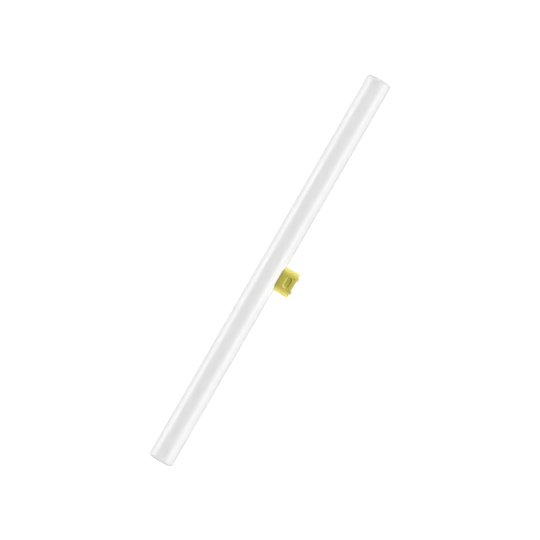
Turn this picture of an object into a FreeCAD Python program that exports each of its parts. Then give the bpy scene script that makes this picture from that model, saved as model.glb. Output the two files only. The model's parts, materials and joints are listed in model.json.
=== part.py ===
"""Tubular lamp with one push-in cap at the middle of its length.

The lamp is drawn in its own frame: X along the tube, the cap pointing to -Y, the cap's two flat
sides facing +Z and -Z, and the origin on the tube's axis at mid length. It is then laid down as it
comes to rest on a table: the tube on the table, and the cap leaning over until its lower corner
touches. The table is Z = 0, with the origin under the middle of the whole lamp.
"""

import FreeCAD, Part
import math
import os

import Sketcher

# name, value in millimetres or degrees, what it is
SIZES = [
    ("tube_length", 500, "Tube, over both ends"),
    ("tube_diameter", 29.4, "Tube, outside"),
    ("tube_end_radius", 4.2, "Rounding where the wall turns into each flat end"),
    ("cap_length", 30, "Cap, along the tube"),
    ("cap_width", 16, "Cap, across its two flat sides"),
    ("cap_reach", 32.3, "Tube axis to the cap's free face"),
    ("cap_offset", -2.25, "Cap's middle from the tube's middle"),
    ("cement_gap", 0.1, "Film of cement between the tube and the saddle"),
    ("rim_radius", 0.7, "Rounding round the free face"),
    ("latch_length", 14.3, "Latch pocket, along the tube"),
    ("latch_height", 7.7, "Latch pocket, along the cap's axis"),
    ("latch_depth", 1.4, "Latch pocket, below the flat side"),
    ("latch_setback", 4.2, "Free face to the near rim of the latch pocket"),
    ("latch_slope", 45, "Lean of the latch pocket's walls"),
    ("latch_floor_radius", 0.5, "Rounding round the latch pocket's floor"),
    ("ramp_width", 11.2, "Lead-in ramp, across its floor"),
    ("ramp_depth", 1.1, "Lead-in ramp, depth at the free face"),
    ("ramp_end_depth", 0.1, "Lead-in ramp, depth at its inner end"),
    ("ramp_land", 0.2, "Flat left between the ramp and the latch pocket"),
    ("ramp_slope", 45, "Lean of the ramp's side walls"),
    ("contact_inset", 6.55, "Cap's end to the middle of the nearer contact"),
    ("contact_width", 4.5, "Contact, along the tube"),
    ("contact_span", 9, "Contact, over the outsides of its two legs"),
    ("contact_rise", 1.5, "Contact's crown above the free face"),
    ("contact_leg", 5, "Contact's legs below the free face"),
    ("strip_thickness", 0.8, "Contact's metal strip"),
    ("strip_bend", 0.4, "Inside radius of the contact's bends"),
    ("contact_gap", 0.1, "Play round a contact in the cap"),
]

# Point numbers of a sketch's line or arc, and of its origin and axes
START, END, CENTRE = range(1, 4)
ACROSS_AXIS, UP_AXIS = range(-1, -3, -1)
ORIGIN = (ACROSS_AXIS, START)


def make_sheet(doc):
    """Write the driving sizes into the spreadsheet, one row each."""
    sheet = doc.addObject("Spreadsheet::Sheet", "sizes")
    for row, (name, value, meaning) in enumerate(SIZES, start=1):
        sheet.set(f"A{row}", name)
        sheet.set(f"B{row}", str(value))
        sheet.setAlias(f"B{row}", name)
        sheet.set(f"C{row}", meaning)
    doc.recompute()
    return sheet


def make_resting(doc):
    """Work out how the lamp lies: its lean about the tube's axis and where that axis is.

    The tube touches the table, and so does the rounded rim of the cap's lower corner.
    """
    resting = doc.addObject("App::VarSet", "resting")
    values = [
        ("App::PropertyDistance", "arm", "sizes.cap_reach - sizes.rim_radius"),
        ("App::PropertyDistance", "drop", "sizes.cap_width / 2 - sizes.rim_radius"),
        ("App::PropertyDistance", "lift", "sizes.tube_diameter / 2"),
        (
            "App::PropertyAngle",
            "lean",
            "asin((lift - sizes.rim_radius * 1 mm) / hypot(arm; drop)) - atan2(drop; arm)",
        ),
        ("App::PropertyDistance", "bend", "(sizes.strip_bend + sizes.strip_thickness) * 1 mm"),
        (
            "App::PropertyDistance",
            "far",
            "((sizes.cap_reach + sizes.contact_rise) * 1 mm - bend) * cos(lean)"
            " + (sizes.contact_span / 2 * 1 mm - bend) * sin(lean) + bend",
        ),
        ("App::PropertyDistance", "shift", "(far - lift) / 2"),
    ]
    for kind, name, formula in values:
        resting.addProperty(kind, name, "Resting")
        resting.setExpression(name, formula)
    doc.recompute()
    return resting


def make_body(doc, name):
    """Start a sub-part on the tube's axis, where that axis lies above the table."""
    body = doc.addObject("PartDesign::Body", name)
    body.Label = name
    body.setExpression("Placement.Base.y", "resting.shift")
    body.setExpression("Placement.Base.z", "resting.lift")
    return body


def make_leaning_body(doc, name, along):
    """Start a sub-part that leans with the cap, moved along the tube by the given size."""
    body = make_body(doc, name)
    body.Placement = FreeCAD.Placement(
        FreeCAD.Vector(), FreeCAD.Rotation(FreeCAD.Vector(1, 0, 0), 1)
    )
    body.setExpression("Placement.Rotation.Axis.x", "1")
    body.setExpression("Placement.Rotation.Angle", "resting.lean")
    body.setExpression("Placement.Base.x", along)
    return body


def add_feature(body, kind, name, sketch=None, **sizes):
    """Add a feature on a sketch, with its sizes bound to the spreadsheet."""
    feature = body.newObject(f"PartDesign::{kind}", name)
    if sketch is not None:
        feature.Profile = sketch
        sketch.Visibility = False
    for size, formula in sizes.items():
        feature.setExpression(size, formula)
    return feature


def origin_plane(body, role):
    """Give one of the body's own origin planes."""
    return next(plane for plane in body.Origin.OriginFeatures if plane.Role == role)


def add_sketch(body, name, role, **offsets):
    """Start a sketch on an origin plane, moved by x, y and z in the plane's own directions."""
    sketch = body.newObject("Sketcher::SketchObject", name)
    sketch.AttachmentSupport = [(origin_plane(body, role), "")]
    sketch.MapMode = "FlatFace"
    for direction, formula in offsets.items():
        sketch.setExpression(f"AttachmentOffset.Base.{direction}", formula)
    return sketch


def bind(sketch, kind, *points, to):
    """Add a dimension to the sketch and tie it to a formula."""
    index = sketch.addConstraint(Sketcher.Constraint(kind, *points))
    sketch.setExpression(f"Constraints[{index}]", to)


def add_chain(sketch, corners):
    """Join the corners by lines into a closed outline, and give the number of its first line."""
    lines = [
        Part.LineSegment(FreeCAD.Vector(*start), FreeCAD.Vector(*end))
        for start, end in zip(corners, corners[1:] + corners[:1])
    ]
    first = sketch.addGeometry(lines, False)[0]
    count = len(lines)
    for step in range(count):
        following = first + (step + 1) % count
        sketch.addConstraint(
            Sketcher.Constraint("Coincident", first + step, END, following, START)
        )
    return first


def draw_circle(sketch, radius):
    """Draw a circle round the sketch's origin."""
    circle = Part.Circle(FreeCAD.Vector(), FreeCAD.Vector(0, 0, 1), 1)
    number = sketch.addGeometry(circle, False)
    sketch.addConstraint(Sketcher.Constraint("Coincident", number, CENTRE, *ORIGIN))
    bind(sketch, "Radius", number, 1, to=radius)


def draw_rectangle(sketch, width, height):
    """Draw a rectangle round the sketch's origin."""
    bottom = add_chain(sketch, [(-1, -1), (1, -1), (1, 1), (-1, 1)])
    right, top, left = bottom + 1, bottom + 2, bottom + 3
    for line in (bottom, top):
        sketch.addConstraint(Sketcher.Constraint("Horizontal", line))
    for line in (right, left):
        sketch.addConstraint(Sketcher.Constraint("Vertical", line))
    sketch.addConstraint(
        Sketcher.Constraint("Symmetric", bottom, START, top, START, *ORIGIN)
    )
    bind(sketch, "DistanceX", bottom, START, bottom, END, 1, to=width)
    bind(sketch, "DistanceY", right, START, right, END, 1, to=height)


def draw_slot(sketch, length, width):
    """Draw a slot with half-round ends round the sketch's origin, long along its x."""
    half, radius = 2, 1
    up = FreeCAD.Vector(0, 0, 1)
    ends = [
        Part.Circle(FreeCAD.Vector(half, 0, 0), up, radius),
        Part.Circle(FreeCAD.Vector(-half, 0, 0), up, radius),
    ]
    quarter = math.pi / 2
    top, bottom, right, left = sketch.addGeometry(
        [
            Part.LineSegment(
                FreeCAD.Vector(-half, radius), FreeCAD.Vector(half, radius)
            ),
            Part.LineSegment(
                FreeCAD.Vector(half, -radius), FreeCAD.Vector(-half, -radius)
            ),
            Part.ArcOfCircle(ends[0], -quarter, quarter),
            Part.ArcOfCircle(ends[1], quarter, 3 * quarter),
        ],
        False,
    )
    for line, point, arc, arc_point in (
        (top, END, right, END),
        (bottom, START, right, START),
        (bottom, END, left, END),
        (top, START, left, START),
    ):
        sketch.addConstraint(
            Sketcher.Constraint("Tangent", line, point, arc, arc_point)
        )
    sketch.addConstraint(Sketcher.Constraint("Equal", right, left))
    sketch.addConstraint(
        Sketcher.Constraint("Symmetric", right, CENTRE, left, CENTRE, *ORIGIN)
    )
    sketch.addConstraint(Sketcher.Constraint("Horizontal", top))
    bind(
        sketch,
        "DistanceX",
        left,
        CENTRE,
        right,
        CENTRE,
        1,
        to=f"{length} - {width}",
    )
    bind(sketch, "Radius", right, 1, to=f"({width}) / 2")


def draw_ramp_section(sketch, depth):
    """Draw the ramp's section: its floor below the flat side, and as much open above it."""
    floor = add_chain(sketch, [(-1, -1), (1, -1), (2, 1), (-2, 1)])
    right, top, left = floor + 1, floor + 2, floor + 3
    sketch.addConstraint(
        Sketcher.Constraint("Symmetric", floor, START, floor, END, UP_AXIS)
    )
    sketch.addConstraint(
        Sketcher.Constraint("Symmetric", top, START, top, END, UP_AXIS)
    )
    bind(sketch, "DistanceX", floor, START, floor, END, 1, to="sizes.ramp_width")
    bind(sketch, "DistanceY", floor, START, *ORIGIN, 1, to=depth)
    bind(sketch, "DistanceY", *ORIGIN, top, START, 1, to=depth)
    bind(sketch, "Angle", right, 1, to="90 deg - sizes.ramp_slope * 1 deg")


def round_edges(body, base, name, radius, distance):
    """Round the edges of the base along which the given distance is nought all the way."""
    near = 1e-4
    places = 5
    edges = [
        f"Edge{number}"
        for number, edge in enumerate(base.Shape.Edges, start=1)
        if all(abs(distance(point)) < near for point in edge.discretize(places))
    ]
    fillet = add_feature(body, "Fillet", name, Radius=radius)
    fillet.Base = (base, edges)
    body.Tip = fillet
    body.Document.recompute()
    return fillet


def make_tube(doc):
    """The opal tube: straight, sealed, with flat ends and rounded corners."""
    body = make_body(doc, "tube")
    section = add_sketch(body, "tube_section", "YZ_Plane")
    draw_circle(section, "sizes.tube_diameter / 2")
    wall = add_feature(body, "Pad", "tube_wall", section, Length="sizes.tube_length")
    wall.SideType = "Symmetric"
    doc.recompute()
    half = doc.sizes.tube_length / 2
    round_edges(
        body,
        wall,
        "tube_ends",
        "sizes.tube_end_radius",
        lambda point: abs(point.x) - half,
    )
    return body


def make_cap(doc):
    """The cap moulding: a flat-sided block on a saddle, with latches, ramps and contact wells."""
    body = make_leaning_body(doc, "cap", "sizes.cap_offset")
    sizes = doc.sizes

    # Block, from the tube's axis out to the free face, with a rounded rim
    outline = add_sketch(body, "cap_outline", "XZ_Plane")
    draw_slot(outline, "sizes.cap_length", "sizes.cap_width")
    block = add_feature(body, "Pad", "cap_block", outline, Length="sizes.cap_reach")
    doc.recompute()
    round_edges(
        body,
        block,
        "cap_rim",
        "sizes.rim_radius",
        lambda point: point.y + sizes.cap_reach,
    )

    # Saddle that sits on the tube, with a film of cement between
    saddle_round = add_sketch(body, "saddle_round", "YZ_Plane")
    draw_circle(saddle_round, "sizes.tube_diameter / 2 + sizes.cement_gap")
    saddle = add_feature(body, "Pocket", "cap_saddle", saddle_round)
    saddle.Type = "ThroughAll"
    saddle.SideType = "Symmetric"
    doc.recompute()

    add_side_features(doc, body)
    for side, sign in (("left", -1), ("right", 1)):
        add_contact_well(doc, body, side, sign)
    return body


def add_side_features(doc, body):
    """Cut the latch pocket and the lead-in ramp into both flat sides."""
    half_width = "sizes.cap_width / 2"
    latch_rim = add_sketch(
        body,
        "latch_rim",
        "XY_Plane",
        y="-sizes.cap_reach + sizes.latch_setback + sizes.latch_height / 2",
        z=half_width,
    )
    draw_slot(latch_rim, "sizes.latch_length", "sizes.latch_height")
    latch = add_feature(
        body,
        "Pocket",
        "latch_pocket",
        latch_rim,
        Length="sizes.latch_depth",
        TaperAngle="-sizes.latch_slope * 1 deg",
    )
    doc.recompute()

    ramp_mouth = add_sketch(
        body, "ramp_mouth", "XZ_Plane", y=half_width, z="sizes.cap_reach"
    )
    draw_ramp_section(ramp_mouth, "sizes.ramp_depth")
    ramp_end = add_sketch(
        body,
        "ramp_end",
        "XZ_Plane",
        y=half_width,
        z="sizes.cap_reach - sizes.latch_setback + sizes.ramp_land",
    )
    draw_ramp_section(ramp_end, "sizes.ramp_end_depth")
    ramp = add_feature(body, "SubtractiveLoft", "lead_in_ramp", ramp_mouth)
    ramp.Sections = [ramp_end]
    ramp.Ruled = True
    doc.recompute()

    both_sides = add_feature(body, "Mirrored", "both_sides")
    both_sides.Originals = [latch, ramp]
    both_sides.MirrorPlane = (origin_plane(body, "XY_Plane"), [""])
    body.Tip = both_sides
    doc.recompute()
    floor = doc.sizes.cap_width / 2 - doc.sizes.latch_depth
    round_edges(
        body,
        both_sides,
        "latch_floors",
        "sizes.latch_floor_radius",
        lambda point: abs(point.z) - floor,
    )


def add_contact_well(doc, body, side, sign):
    """Cut a well for one contact and leave the core that its strip is folded over."""
    place = f"{sign} * (sizes.cap_length / 2 - sizes.contact_inset)"
    mouth = add_sketch(
        body, f"well_mouth_{side}", "XZ_Plane", x=place, z="sizes.cap_reach"
    )
    draw_rectangle(
        mouth,
        "sizes.contact_width + 2 * sizes.contact_gap",
        "sizes.contact_span + 2 * sizes.contact_gap",
    )
    add_feature(
        body,
        "Pocket",
        f"contact_well_{side}",
        mouth,
        Length="sizes.contact_leg + sizes.contact_gap",
    )
    doc.recompute()

    foot = add_sketch(
        body,
        f"core_foot_{side}",
        "XZ_Plane",
        x=place,
        z="sizes.cap_reach - sizes.contact_leg - sizes.contact_gap",
    )
    draw_rectangle(
        foot,
        "sizes.contact_width + 2 * sizes.contact_gap",
        "sizes.contact_span - 2 * sizes.strip_thickness - 2 * sizes.contact_gap",
    )
    core = add_feature(
        body,
        "Pad",
        f"contact_core_{side}",
        foot,
        Length="sizes.contact_leg + sizes.contact_gap + sizes.contact_rise"
        " - sizes.strip_thickness",
    )
    doc.recompute()
    sizes = doc.sizes
    top = sizes.cap_reach + sizes.contact_rise - sizes.strip_thickness
    half_core = sizes.contact_span / 2 - sizes.strip_thickness - sizes.contact_gap
    round_edges(
        body,
        core,
        f"core_edges_{side}",
        "sizes.strip_bend",
        lambda point: math.hypot(point.y + top, abs(point.z) - half_core),
    )


def make_contact(doc, name, sign):
    """One contact: a metal strip folded over its core, with both legs down in the cap."""
    body = make_leaning_body(
        doc,
        name,
        f"sizes.cap_offset + {sign} * (sizes.cap_length / 2 - sizes.contact_inset)",
    )
    fold = add_sketch(body, "fold_line", "YZ_Plane", x="-sizes.cap_reach")
    draw_fold_line(fold)
    strip_end = add_sketch(
        body,
        "strip_end",
        "XZ_Plane",
        y="-(sizes.contact_span - sizes.strip_thickness) / 2",
        z="sizes.cap_reach - sizes.contact_leg",
    )
    draw_rectangle(strip_end, "sizes.contact_width", "sizes.strip_thickness")
    doc.recompute()

    strip = add_feature(body, "AdditivePipe", "folded_strip", strip_end)
    strip.Spine = fold
    body.Tip = strip
    return body


def draw_fold_line(sketch):
    """Draw the middle line of the strip: a leg, a bend, the crown, a bend and a leg.

    The sketch's origin is on the free face, and its x points into the cap.
    """
    leg_end, crown, half, bend = 5, -1, 4, 0.5
    up = FreeCAD.Vector(0, 0, 1)
    low_bend = Part.Circle(FreeCAD.Vector(crown + bend, bend - half, 0), up, bend)
    high_bend = Part.Circle(FreeCAD.Vector(crown + bend, half - bend, 0), up, bend)
    low_leg, low_turn, top, high_turn, high_leg = sketch.addGeometry(
        [
            Part.LineSegment(
                FreeCAD.Vector(leg_end, -half), FreeCAD.Vector(crown + bend, -half)
            ),
            Part.ArcOfCircle(low_bend, math.pi, 1.5 * math.pi),
            Part.LineSegment(
                FreeCAD.Vector(crown, bend - half), FreeCAD.Vector(crown, half - bend)
            ),
            Part.ArcOfCircle(high_bend, 0.5 * math.pi, math.pi),
            Part.LineSegment(
                FreeCAD.Vector(crown + bend, half), FreeCAD.Vector(leg_end, half)
            ),
        ],
        False,
    )
    for line, point, arc, arc_point in (
        (low_leg, END, low_turn, END),
        (top, START, low_turn, START),
        (top, END, high_turn, END),
        (high_leg, START, high_turn, START),
    ):
        sketch.addConstraint(
            Sketcher.Constraint("Tangent", line, point, arc, arc_point)
        )
    for leg in (low_leg, high_leg):
        sketch.addConstraint(Sketcher.Constraint("Horizontal", leg))
    sketch.addConstraint(Sketcher.Constraint("Vertical", top))
    sketch.addConstraint(Sketcher.Constraint("Equal", low_turn, high_turn))
    sketch.addConstraint(
        Sketcher.Constraint("Symmetric", low_leg, START, high_leg, END, ACROSS_AXIS)
    )
    bind(sketch, "Radius", low_turn, 1, to="sizes.strip_bend + sizes.strip_thickness / 2")
    bind(sketch, "DistanceX", *ORIGIN, low_leg, START, 1, to="sizes.contact_leg")
    bind(
        sketch,
        "DistanceX",
        top,
        START,
        *ORIGIN,
        1,
        to="sizes.contact_rise - sizes.strip_thickness / 2",
    )
    bind(
        sketch,
        "DistanceY",
        low_leg,
        START,
        high_leg,
        END,
        1,
        to="sizes.contact_span - sizes.strip_thickness",
    )


def check(doc, bodies):
    """Stop if anything failed, if a sketch isn't fully set, or if a cut or a pad did nothing."""
    for item in doc.Objects:
        if "Invalid" in item.State or "Error" in item.State:
            raise RuntimeError(f"{item.Name} failed: {item.State}")
        if item.TypeId == "Sketcher::SketchObject" and not item.FullyConstrained:
            raise RuntimeError(f"{item.Name} isn't fully constrained")
    for body in bodies:
        if body.Shape.isNull() or not body.Shape.isValid():
            raise RuntimeError(f"{body.Label} has no valid shape")
        if len(body.Shape.Solids) != 1:
            raise RuntimeError(f"{body.Label} has {len(body.Shape.Solids)} solids")
        for feature in body.Group:
            base = getattr(feature, "BaseFeature", None)
            if base and abs(feature.Shape.Volume - base.Shape.Volume) < 1e-6:
                raise RuntimeError(f"{feature.Name} changes nothing")


def main():
    doc = FreeCAD.newDocument("tubular_lamp")
    make_sheet(doc)
    make_resting(doc)
    bodies = [
        make_tube(doc),
        make_cap(doc),
        make_contact(doc, "contact_left", -1),
        make_contact(doc, "contact_right", 1),
    ]
    doc.recompute()
    check(doc, bodies)

    os.makedirs("parts", exist_ok=True)
    for body in bodies:
        body.Shape.exportStep(f"parts/{body.Label}.step")


main()
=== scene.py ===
"""Tubular lamp: finishes, eased edges, studio and camera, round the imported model.

Laid out as an add-on and run as a script. The sizes and colours are properties of the
scene, each group of pieces and the studio has an operator, and main() calls the operators
in order. Everything is in metres in the model's frame: X along the tube, Z up from the
table, the cap pointing to -Y and leaning down to the table.
"""

import json
import math

import bmesh
import bpy
from bpy.props import FloatProperty, FloatVectorProperty, IntProperty, PointerProperty
from mathutils import Matrix, Vector


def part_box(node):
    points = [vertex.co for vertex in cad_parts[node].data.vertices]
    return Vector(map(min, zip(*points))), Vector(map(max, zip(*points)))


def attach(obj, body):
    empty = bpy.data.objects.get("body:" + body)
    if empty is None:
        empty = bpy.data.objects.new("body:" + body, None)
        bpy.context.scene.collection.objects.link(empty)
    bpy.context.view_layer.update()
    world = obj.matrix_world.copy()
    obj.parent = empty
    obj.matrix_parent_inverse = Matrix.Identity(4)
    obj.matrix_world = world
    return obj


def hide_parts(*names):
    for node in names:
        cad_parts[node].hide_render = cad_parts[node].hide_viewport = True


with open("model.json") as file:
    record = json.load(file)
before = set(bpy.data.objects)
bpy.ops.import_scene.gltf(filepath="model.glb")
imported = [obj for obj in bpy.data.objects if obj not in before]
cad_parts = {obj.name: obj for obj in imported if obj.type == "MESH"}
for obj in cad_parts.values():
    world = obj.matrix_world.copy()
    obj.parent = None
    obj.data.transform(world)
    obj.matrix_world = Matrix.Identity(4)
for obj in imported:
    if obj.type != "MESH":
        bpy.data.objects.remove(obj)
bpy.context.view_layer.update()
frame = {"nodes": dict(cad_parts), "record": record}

bl_info = {
    "name": "Tubular lamp",
    "version": (1, 0, 0),
    "blender": (4, 5, 0),
    "location": "3D View > Sidebar > Lamp",
    "description": "Dresses a tubular lamp with one centre cap and lights it for a picture",
    "category": "Object",
}

MILLIMETRE = 0.001
MOUNTS = {mount["name"]: mount for mount in frame["record"]["mounts"]}

# The cap's own axes: along the tube, out through the free face, up through the upper flat
ALONG = Vector((1, 0, 0))
OUT = Vector(MOUNTS["free_face"]["axis"])
UP = Vector(MOUNTS["upper_flat"]["axis"])
CAP_FACE = Vector(MOUNTS["free_face"]["pos_m"])
CAP_FLAT = Vector(MOUNTS["upper_flat"]["pos_m"])
CAP_LOW, CAP_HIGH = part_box("cap")

TUBE_LOW, TUBE_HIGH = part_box("tube")
TUBE_CENTRE = (TUBE_LOW + TUBE_HIGH) / 2
TUBE_RADIUS = (TUBE_HIGH.y - TUBE_LOW.y) / 2
TUBE_LENGTH = TUBE_HIGH.x - TUBE_LOW.x
CORNER_STEPS = 16
END_RINGS = 6

# How far each easing pass moves a point towards the middle of its neighbours
EASING_SHARE = 0.5
# Nearly all of a noise's values lie between these
NOISE_LOW, NOISE_HIGH = 0.3, 0.7

# The middle of the picture, from the tube's middle along the cap's axes
AIM_ALONG = 0.5 * MILLIMETRE
AIM_OUT = -0.23 * MILLIMETRE
NEAREST_SEEN = 0.1
FARTHEST_SEEN = 50.0
TABLE_REACH = 6.0

# Far lamps: where each stands in degrees, how wide it looks, and if it throws shadows.
# The side lamp throws none, so that the cap leaves no shadow on the tube.
FAR_LAMPS = (
    # name, turn, height, width, shadow
    ("side_lamp", 88, 26, 34, False),
    ("back_lamp", 269, 10, 20, True),
    ("top_lamp", 0, 90, 60, True),
    ("upper_lamp", 0, 2, 6, True),
    ("lower_lamp", 180, 2, 6, True),
)

# Narrow lamps that fall on the cap alone: where each stands, in degrees
BEAMS = (
    # name, turn, height
    ("upper_beam", 0, 10),
    ("lower_beam", 180, 2),
    ("corner_beam", 45, 36),
)
BEAM_SPREAD = math.radians(3)
BEAM_GAP = 60 * MILLIMETRE


class LampSizes(bpy.types.PropertyGroup):
    """How finely the pieces are shaped."""

    end_radius: FloatProperty(
        name="End rounding",
        description="Rounding where the tube's wall turns into each flat end",
        default=4.2 * MILLIMETRE,
        unit="LENGTH",
        precision=5,
    )
    sides: IntProperty(
        name="Sides",
        description="Facets round the tube",
        default=192,
        min=24,
    )
    rows: IntProperty(
        name="Rows",
        description="Rows of facets along the straight of the tube",
        default=48,
        min=1,
    )
    cap_grid: FloatProperty(
        name="Cap grid",
        description="Mesh size of the cap",
        default=0.2 * MILLIMETRE,
        unit="LENGTH",
        precision=5,
    )
    cap_easing: IntProperty(
        name="Cap easing",
        description="How often the cap's edges are eased",
        default=2,
        min=0,
    )
    contact_grid: FloatProperty(
        name="Contact grid",
        description="Mesh size of the contacts",
        default=0.08 * MILLIMETRE,
        unit="LENGTH",
        precision=5,
    )
    contact_easing: IntProperty(
        name="Contact easing",
        description="How often the contacts' edges are eased",
        default=4,
        min=0,
    )


class LampFinish(bpy.types.PropertyGroup):
    """The colours of the pieces and of the table."""

    glass: FloatVectorProperty(
        name="Opal glass",
        description="Colour of the opal glass",
        default=(0.93, 0.93, 0.93),
        subtype="COLOR",
    )
    cap: FloatVectorProperty(
        name="Cap",
        description="Colour of the cap's plastic",
        default=(0.46, 0.406, 0.081),
        subtype="COLOR",
    )
    contact: FloatVectorProperty(
        name="Contact",
        description="Colour of the contacts' nickel plating",
        default=(0.38, 0.363, 0.338),
        subtype="COLOR",
    )
    floor: FloatVectorProperty(
        name="Floor",
        description="Colour of the light that the table throws back on the lamp",
        default=(0.4, 0.4, 0.4),
        subtype="COLOR",
    )


class LampStudio(bpy.types.PropertyGroup):
    """The picture's scale, angle and light."""

    picture_width: FloatProperty(
        name="Picture width",
        description="Width that the picture takes in, at the tube's axis",
        default=613.4 * MILLIMETRE,
        unit="LENGTH",
        precision=4,
    )
    distance: FloatProperty(
        name="Camera distance",
        description="From the camera to the tube's axis",
        default=5.0,
        unit="LENGTH",
    )
    roll: FloatProperty(
        name="Tube's slant",
        description="Angle of the tube in the picture, above level",
        default=math.radians(60),
        unit="ROTATION",
    )
    sky: FloatProperty(
        name="Sky",
        description="Strength of the plain sky all round",
        default=0.1,
    )
    side_lamp: FloatProperty(
        name="Side lamp",
        description="Strength of the lamp beyond the cap",
        default=0.88,
    )
    back_lamp: FloatProperty(
        name="Back lamp",
        description="Strength of the low lamp on the side of the tube that has no cap",
        default=0.89,
    )
    top_lamp: FloatProperty(
        name="Top lamp",
        description="Strength of the wide lamp straight over the cap's flat side",
        default=0.1,
    )
    upper_lamp: FloatProperty(
        name="Upper lamp",
        description="Strength of the low lamp beyond the tube's upper end",
        default=0.4,
    )
    lower_lamp: FloatProperty(
        name="Lower lamp",
        description="Strength of the low lamp beyond the tube's lower end",
        default=0.36,
    )
    upper_beam: FloatProperty(
        name="Upper beam",
        description="Strength of the narrow lamp that faces the cap's upper end",
        default=0.74,
    )
    lower_beam: FloatProperty(
        name="Lower beam",
        description="Strength of the narrow lamp that faces the cap's lower end",
        default=1.16,
    )
    corner_beam: FloatProperty(
        name="Corner beam",
        description="Strength of the narrow lamp off the cap's face and upper end",
        default=0.43,
    )
    floor_fill: FloatProperty(
        name="Floor fill",
        description="How much of the floor's white is its own, whatever light falls on it",
        default=0.91,
    )
    floor_catch: FloatProperty(
        name="Floor shadow",
        description="How much of the light that falls on the floor is seen",
        default=0.2,
    )


def axes(first, second, third):
    """The turn whose X, Y and Z are the three given directions."""
    return Matrix((first, second, third)).transposed().to_4x4()


def add_node(tree, kind, inputs=None, **options):
    """Add a shader node, set its options, and link or fill its inputs."""
    node = tree.nodes.new(kind)
    for name, value in options.items():
        setattr(node, name, value)
    for socket, value in (inputs or {}).items():
        if isinstance(value, bpy.types.NodeSocket):
            tree.links.new(value, node.inputs[socket])
        else:
            node.inputs[socket].default_value = value
    return node


def new_material(name):
    """Start a material with an empty node tree, and give its tree and output."""
    material = bpy.data.materials.new(name)
    material.use_nodes = True
    tree = material.node_tree
    tree.nodes.clear()
    output = add_node(tree, "ShaderNodeOutputMaterial")
    return material, tree, output


def opaque(colour):
    """A colour with full alpha, as the shaders' sockets take it."""
    return (*colour, 1.0)


def shaded(colour, share):
    """The colour, darkened to a share of itself."""
    return opaque(channel * share for channel in colour)


def mottle(tree, size, stretch=(1, 1, 1)):
    """Noise of the given grain size in metres, stretched along the model's axes."""
    place = add_node(tree, "ShaderNodeTexCoord").outputs["Object"]
    squeeze = tuple(1 / (size * factor) for factor in stretch)
    scaled = add_node(
        tree,
        "ShaderNodeVectorMath",
        {0: place, 1: squeeze},
        operation="MULTIPLY",
    )
    noise = add_node(
        tree,
        "ShaderNodeTexNoise",
        {"Vector": scaled.outputs["Vector"], "Scale": 1.0, "Detail": 3.0},
    )
    return noise.outputs["Fac"]


def between(tree, amount, low, high):
    """Spread the middle of a noise over a range of values."""
    spread = add_node(
        tree,
        "ShaderNodeMapRange",
        {
            "Value": amount,
            "From Min": NOISE_LOW,
            "From Max": NOISE_HIGH,
            "To Min": low,
            "To Max": high,
        },
    )
    return spread.outputs["Result"]


def mixed_colour(tree, amount, dark, light):
    """Mix two colours by a noise, and give the mixture's socket."""
    mix = tree.nodes.new("ShaderNodeMix")
    mix.data_type = "RGBA"
    factor, first, second = mix.inputs[0], mix.inputs[6], mix.inputs[7]
    tree.links.new(between(tree, amount, 0, 1), factor)
    first.default_value = dark
    second.default_value = light
    return mix.outputs[2]


def grain_bump(tree, size, height, strength, stretch=(1, 1, 1)):
    """A fine relief of the given grain size and height in metres."""
    bump = add_node(
        tree,
        "ShaderNodeBump",
        {
            "Height": mottle(tree, size, stretch),
            "Distance": height,
            "Strength": strength,
        },
    )
    return bump.outputs["Normal"]


def make_glass(finish):
    """Opal glass: satin, milky to some depth, with the faint streaks of drawn glass."""
    material, tree, output = new_material("opal_glass")
    streaks = mottle(tree, 1.2 * MILLIMETRE, stretch=(60, 1, 1))
    haze = mottle(tree, 9 * MILLIMETRE)
    shader = add_node(
        tree,
        "ShaderNodeBsdfPrincipled",
        {
            "Base Color": mixed_colour(
                tree, streaks, shaded(finish.glass, 0.985), opaque(finish.glass)
            ),
            "Roughness": between(tree, haze, 0.36, 0.44),
            "IOR": 1.3,
            "Subsurface Weight": 1.0,
            "Subsurface Radius": (1.0, 1.0, 1.0),
            "Subsurface Scale": 20 * MILLIMETRE,
            # The coat has no gloss: it deepens the glass towards its outline
            "Coat Weight": 0.45,
            "Coat Roughness": 0.3,
            "Coat IOR": 1.0,
            "Coat Tint": (0.83, 0.83, 0.83, 1.0),
            "Normal": grain_bump(tree, 0.35 * MILLIMETRE, 0.01 * MILLIMETRE, 0.1),
        },
    )
    tree.links.new(shader.outputs["BSDF"], output.inputs["Surface"])
    return material


def make_plastic(finish):
    """Moulded plastic: satin, with a fine even grain and slightly cloudy pigment."""
    material, tree, output = new_material("cap_moulding")
    clouds = mottle(tree, 4 * MILLIMETRE)
    grain = mottle(tree, 0.3 * MILLIMETRE)
    shader = add_node(
        tree,
        "ShaderNodeBsdfPrincipled",
        {
            "Base Color": mixed_colour(
                tree, clouds, shaded(finish.cap, 0.95), opaque(finish.cap)
            ),
            "Roughness": between(tree, grain, 0.42, 0.52),
            "IOR": 1.45,
            "Specular IOR Level": 0.1,
            "Subsurface Weight": 0.1,
            "Subsurface Radius": (1.0, 0.8, 0.3),
            "Subsurface Scale": 0.6 * MILLIMETRE,
            "Normal": grain_bump(tree, 0.25 * MILLIMETRE, 0.02 * MILLIMETRE, 0.2),
        },
    )
    tree.links.new(shader.outputs["BSDF"], output.inputs["Surface"])
    return material


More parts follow.
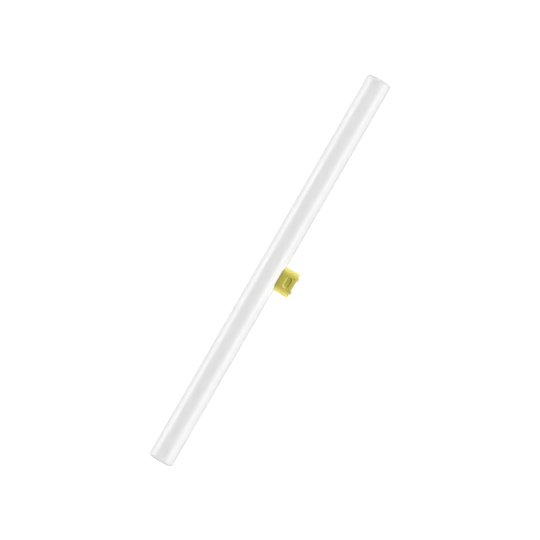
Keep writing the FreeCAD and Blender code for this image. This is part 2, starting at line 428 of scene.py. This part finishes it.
def make_nickel(finish):
    """Nickel-plated strip: fine rolled grain round the fold and a slight tarnish."""
    material, tree, output = new_material("contact_metal")
    rolled = mottle(tree, 0.06 * MILLIMETRE, stretch=(1, 30, 30))
    tarnish = mottle(tree, 1.5 * MILLIMETRE)
    shader = add_node(
        tree,
        "ShaderNodeBsdfPrincipled",
        {
            "Base Color": mixed_colour(
                tree, tarnish, shaded(finish.contact, 0.85), opaque(finish.contact)
            ),
            "Metallic": 1.0,
            "Roughness": between(tree, rolled, 0.62, 0.74),
            "Normal": grain_bump(
                tree, 0.06 * MILLIMETRE, 0.004 * MILLIMETRE, 0.3, (1, 30, 30)
            ),
        },
    )
    tree.links.new(shader.outputs["BSDF"], output.inputs["Surface"])
    return material


def seen_by_eye(tree):
    """1 for rays that show the surroundings: straight, in a reflection or through glass."""
    path = add_node(tree, "ShaderNodeLightPath").outputs
    mirrored = add_node(
        tree,
        "ShaderNodeMath",
        {0: path["Is Glossy Ray"], 1: path["Is Transmission Ray"]},
        operation="MAXIMUM",
    )
    seen = add_node(
        tree,
        "ShaderNodeMath",
        {0: path["Is Camera Ray"], 1: mirrored.outputs[0]},
        operation="MAXIMUM",
    )
    return seen.outputs[0]


def make_floor_paint(finish, studio):
    """The table: filled up to white where it is seen, with the lamp's soft shadow kept."""
    material, tree, output = new_material("table_top")
    paint = add_node(tree, "ShaderNodeBsdfDiffuse", {"Color": opaque(finish.floor)})
    shadow_catch = add_node(
        tree, "ShaderNodeBsdfDiffuse", {"Color": opaque([studio.floor_catch] * 3)}
    )
    fill = add_node(tree, "ShaderNodeEmission", {"Strength": studio.floor_fill})
    filled = add_node(
        tree,
        "ShaderNodeAddShader",
        {0: shadow_catch.outputs[0], 1: fill.outputs[0]},
    )
    chosen = add_node(
        tree,
        "ShaderNodeMixShader",
        {0: seen_by_eye(tree), 1: paint.outputs[0], 2: filled.outputs[0]},
    )
    tree.links.new(chosen.outputs[0], output.inputs["Surface"])
    return material


def make_world(studio):
    """A plain dim sky, white where it is seen."""
    world = bpy.data.worlds.new("studio_sky")
    bpy.context.scene.world = world
    world.use_nodes = True
    tree = world.node_tree
    tree.nodes.clear()
    white = opaque((1, 1, 1))
    sky = add_node(
        tree, "ShaderNodeBackground", {"Color": white, "Strength": studio.sky}
    )
    backdrop = add_node(tree, "ShaderNodeBackground", {"Color": white})
    chosen = add_node(
        tree,
        "ShaderNodeMixShader",
        {0: seen_by_eye(tree), 1: sky.outputs[0], 2: backdrop.outputs[0]},
    )
    output = add_node(tree, "ShaderNodeOutputWorld")
    tree.links.new(chosen.outputs[0], output.inputs["Surface"])


def show(name, mesh, material):
    """Put a mesh into the scene, smooth and in its material."""
    piece = bpy.data.objects.new(name, mesh)
    bpy.context.scene.collection.objects.link(piece)
    mesh.materials.clear()
    mesh.materials.append(material)
    mesh.shade_smooth()
    return piece


def stand_for(piece, node):
    """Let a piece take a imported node's place."""
    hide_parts(node)
    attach(piece, "root")


def tube_profile(sizes):
    """Distance from the middle and radius of each ring, from end to end."""
    half = TUBE_LENGTH / 2
    corner = sizes.end_radius
    face = TUBE_RADIUS - corner
    straight = half - corner
    flat = [(half, face * ring / END_RINGS) for ring in range(1, END_RINGS)]
    quarter = []
    for step in range(CORNER_STEPS + 1):
        turn = math.radians(90) * step / CORNER_STEPS
        quarter.append(
            (straight + corner * math.cos(turn), face + corner * math.sin(turn))
        )
    wall = [
        (straight * (1 - 2 * row / sizes.rows), TUBE_RADIUS)
        for row in range(1, sizes.rows)
    ]
    one_end = flat + quarter
    other_end = [(-along, radius) for along, radius in reversed(one_end)]
    return one_end + wall + other_end


def build_tube_mesh(sizes):
    """The tube: rings of points turned round its axis and joined into one closed skin."""
    shape = bmesh.new()
    rings = []
    for along, radius in tube_profile(sizes):
        ring = []
        for side in range(sizes.sides):
            turn = math.tau * side / sizes.sides
            spoke = Vector((along, radius * math.cos(turn), radius * math.sin(turn)))
            ring.append(shape.verts.new(TUBE_CENTRE + spoke))
        rings.append(ring)
    for ring, following in zip(rings, rings[1:]):
        for side in range(sizes.sides):
            after = (side + 1) % sizes.sides
            shape.faces.new(
                (ring[side], following[side], following[after], ring[after])
            )
    for ring, sign in ((rings[0], 1), (rings[-1], -1)):
        hub = shape.verts.new(TUBE_CENTRE + ALONG * sign * TUBE_LENGTH / 2)
        for side in range(sizes.sides):
            shape.faces.new((hub, ring[side], ring[(side + 1) % sizes.sides]))
    bmesh.ops.recalc_face_normals(shape, faces=shape.faces)
    mesh = bpy.data.meshes.new("opal_tube")
    shape.to_mesh(mesh)
    shape.free()
    return mesh


def eased_mesh(node, grid, passes):
    """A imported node's form on a fine even grid, with its sharp edges eased."""
    cap_axes = axes(ALONG, -OUT, UP)
    mesh = frame["nodes"][node].data.copy()
    mesh.transform(cap_axes.inverted())
    draft = bpy.data.objects.new("draft", mesh)
    bpy.context.scene.collection.objects.link(draft)
    remesh = draft.modifiers.new("grid", "REMESH")
    remesh.mode = "VOXEL"
    remesh.voxel_size = grid
    easing = draft.modifiers.new("easing", "SMOOTH")
    easing.factor = EASING_SHARE
    easing.iterations = passes
    ready = draft.evaluated_get(bpy.context.evaluated_depsgraph_get())
    eased = bpy.data.meshes.new_from_object(ready)
    bpy.data.objects.remove(draft)
    bpy.data.meshes.remove(mesh)
    eased.transform(cap_axes)
    return eased


class LAMP_OT_glass_tube(bpy.types.Operator):
    """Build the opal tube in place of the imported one"""

    bl_idname = "lamp.glass_tube"
    bl_label = "Glass tube"

    def execute(self, context):
        glass = make_glass(context.scene.lamp_finish)
        tube = show("opal_tube", build_tube_mesh(context.scene.lamp_sizes), glass)
        stand_for(tube, "tube")
        return {"FINISHED"}


class LAMP_OT_cap(bpy.types.Operator):
    """Build the cap's moulding with eased edges"""

    bl_idname = "lamp.cap"
    bl_label = "Cap"

    def execute(self, context):
        sizes = context.scene.lamp_sizes
        plastic = make_plastic(context.scene.lamp_finish)
        mesh = eased_mesh("cap", sizes.cap_grid, sizes.cap_easing)
        stand_for(show("push_in_cap", mesh, plastic), "cap")
        return {"FINISHED"}


class LAMP_OT_contacts(bpy.types.Operator):
    """Build the two folded contact strips with eased edges"""

    bl_idname = "lamp.contacts"
    bl_label = "Contacts"

    def execute(self, context):
        sizes = context.scene.lamp_sizes
        nickel = make_nickel(context.scene.lamp_finish)
        for node in ("contact_left", "contact_right"):
            mesh = eased_mesh(node, sizes.contact_grid, sizes.contact_easing)
            stand_for(show(f"{node}_strip", mesh, nickel), node)
        return {"FINISHED"}


def build_table_mesh():
    """The table: one square face at the height of the floor."""
    low, high = -TABLE_REACH, TABLE_REACH
    corners = [(low, low, 0), (high, low, 0), (high, high, 0), (low, high, 0)]
    mesh = bpy.data.meshes.new("table_top")
    mesh.from_pydata(corners, [], [(0, 1, 2, 3)])
    return mesh


def make_camera(studio):
    """A long lens square to the cap's upper flat, with the tube rising to the right."""
    data = bpy.data.cameras.new("camera")
    camera = bpy.data.objects.new("camera", data)
    bpy.context.scene.collection.objects.link(camera)
    bpy.context.scene.camera = camera
    data.lens = data.sensor_width * studio.distance / studio.picture_width
    data.clip_start = NEAREST_SEEN
    data.clip_end = FARTHEST_SEEN
    right = ALONG * math.cos(studio.roll) + OUT * math.sin(studio.roll)
    above = ALONG * math.sin(studio.roll) - OUT * math.cos(studio.roll)
    aim = TUBE_CENTRE + ALONG * AIM_ALONG + OUT * AIM_OUT
    place = aim + UP * studio.distance
    camera.matrix_world = Matrix.Translation(place) @ axes(right, above, UP)


def make_lamp(name, towards, strength, width, shadow):
    """A far lamp. At strength 1 it alone shows square-on white paint as white."""
    data = bpy.data.lights.new(name, "SUN")
    data.energy = strength * math.pi
    data.angle = math.radians(width)
    data.use_shadow = shadow
    lamp = bpy.data.objects.new(name, data)
    bpy.context.scene.collection.objects.link(lamp)
    lamp.rotation_mode = "QUATERNION"
    lamp.rotation_quaternion = towards.to_track_quat("Z", "Y")
    lamp.location = TUBE_CENTRE + towards


def cap_corners():
    """Corners of the box round the part of the cap that stands clear of the tube."""
    face = OUT * (CAP_FACE - TUBE_CENTRE).dot(OUT)
    flat = UP * (CAP_FLAT - TUBE_CENTRE).dot(UP)
    return [
        Vector((along, TUBE_CENTRE.y, TUBE_CENTRE.z)) + out + up
        for along in (CAP_LOW.x, CAP_HIGH.x)
        for out in (OUT * TUBE_RADIUS, face)
        for up in (flat, -flat)
    ]


def span(points, way):
    """The least and the most that the points reach in a direction."""
    places = [point.dot(way) for point in points]
    return min(places), max(places)


def make_beam(name, towards, strength):
    """A lamp whose almost parallel light falls on the cap and passes beside the tube."""
    across = (ALONG - towards * ALONG.dot(towards)).normalized()
    above = towards.cross(across)
    corners = cap_corners()
    left, right = span(corners, across)
    bottom, top = span(corners, above)
    data = bpy.data.lights.new(name, "AREA")
    data.shape = "RECTANGLE"
    data.size = right - left
    data.size_y = top - bottom
    data.spread = BEAM_SPREAD
    data.energy = strength * math.pi * data.size * data.size_y
    lamp = bpy.data.objects.new(name, data)
    bpy.context.scene.collection.objects.link(lamp)
    lamp.visible_camera = False
    middle = across * (left + right) / 2 + above * (bottom + top) / 2
    place = middle + towards * (CAP_FACE.dot(towards) + BEAM_GAP)
    lamp.matrix_world = Matrix.Translation(place) @ axes(across, above, towards)


def bearing(turn, height):
    """A direction: turned from the tube's upper end towards the cap, and raised."""
    level = math.cos(math.radians(height))
    return (
        ALONG * math.cos(math.radians(turn)) * level
        + OUT * math.sin(math.radians(turn)) * level
        + UP * math.sin(math.radians(height))
    )


def make_lamps(studio):
    """The far lamps round the tube, and the narrow ones round the cap."""
    for name, turn, height, width, shadow in FAR_LAMPS:
        strength = getattr(studio, name)
        make_lamp(name, bearing(turn, height), strength, width, shadow)
    for name, turn, height in BEAMS:
        make_beam(name, bearing(turn, height), getattr(studio, name))


class LAMP_OT_studio(bpy.types.Operator):
    """Set the table, the light and the camera round the lamp"""

    bl_idname = "lamp.studio"
    bl_label = "Studio"

    def execute(self, context):
        studio = context.scene.lamp_studio
        context.scene.view_settings.view_transform = "Standard"
        make_world(studio)
        make_lamps(studio)
        make_camera(studio)
        paint = make_floor_paint(context.scene.lamp_finish, studio)
        table = show("table_top", build_table_mesh(), paint)
        return {"FINISHED"}


class LAMP_PT_sidebar(bpy.types.Panel):
    """Lists the lamp's values and the buttons that build it"""

    bl_idname = "LAMP_PT_sidebar"
    bl_label = "Tubular lamp"
    bl_space_type = "VIEW_3D"
    bl_region_type = "UI"
    bl_category = "Lamp"

    def draw(self, context):
        for group in GROUPS:
            values = getattr(context.scene, group)
            for name in values.bl_rna.properties.keys():
                if name not in ("rna_type", "name"):
                    self.layout.prop(values, name)
        for operator in OPERATORS:
            self.layout.operator(operator.bl_idname)


GROUPS = {
    "lamp_sizes": LampSizes,
    "lamp_finish": LampFinish,
    "lamp_studio": LampStudio,
}
OPERATORS = (LAMP_OT_glass_tube, LAMP_OT_cap, LAMP_OT_contacts, LAMP_OT_studio)


def register():
    for group, kind in GROUPS.items():
        bpy.utils.register_class(kind)
        setattr(bpy.types.Scene, group, PointerProperty(type=kind))
    for kind in (*OPERATORS, LAMP_PT_sidebar):
        bpy.utils.register_class(kind)


def unregister():
    for kind in reversed((*OPERATORS, LAMP_PT_sidebar)):
        bpy.utils.unregister_class(kind)
    for group, kind in GROUPS.items():
        delattr(bpy.types.Scene, group)
        bpy.utils.unregister_class(kind)


def main():
    register()
    bpy.ops.lamp.glass_tube()
    bpy.ops.lamp.cap()
    bpy.ops.lamp.contacts()
    bpy.ops.lamp.studio()


if __name__ == "__main__":
    main()
